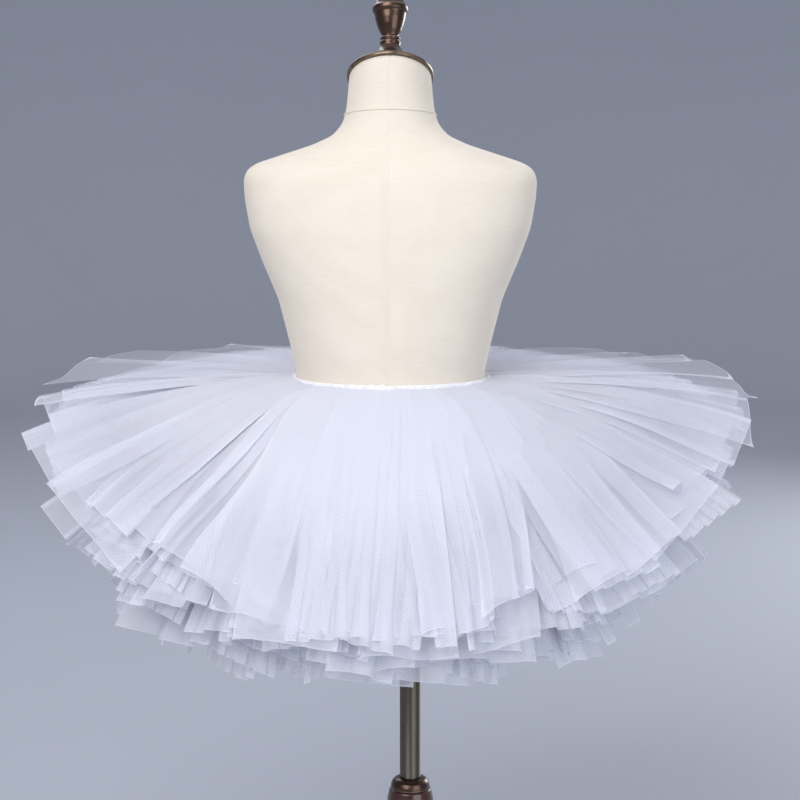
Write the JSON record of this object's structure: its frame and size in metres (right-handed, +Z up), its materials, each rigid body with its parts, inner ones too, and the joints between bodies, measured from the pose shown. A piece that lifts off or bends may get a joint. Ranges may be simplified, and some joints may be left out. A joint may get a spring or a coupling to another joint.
{
  "type": "tulle tutu skirt on a limbless dress form with stand",
  "caption": "Full white tulle tutu of layered knotted strips on an elastic waistband, worn by a limbless child's dress form on a pole stand with a round foot.",
  "frame": {"origin": "on the stand foot's underside, straight under the middle of the waist, 21 mm from the foot's centre", "axes": "+Z up; the form's back faces -Y and its chest faces +Y; +X to the right when its back is looked at"},
  "size_m": [0.7749, 0.6183, 1.0716],
  "materials": {
    "tulle": "sheer white net, matt with a faint cool sheen",
    "elastic": "woven white elastic, matt",
    "cotton_cover": "cream woven cotton, matt",
    "antique_bronze": "dark brown antique plating, polished on the raised edges",
    "dark_nickel": "dark polished tube",
    "brown_wood": "dark brown lacquer"
  },
  "bodies": {
    "root": {"waistband": "elastic", "tulle_tier_1": "tulle", "tulle_tier_2": "tulle", "tulle_tier_3": "tulle", "tulle_tier_4": "tulle", "tulle_tier_5": "tulle", "form_body": "cotton_cover", "neck_cap": "antique_bronze", "finial": "antique_bronze", "pole": "dark_nickel", "hub_collar": "antique_bronze", "stand_column": "brown_wood", "stand_base": "brown_wood"}
  },
  "joints": []
}
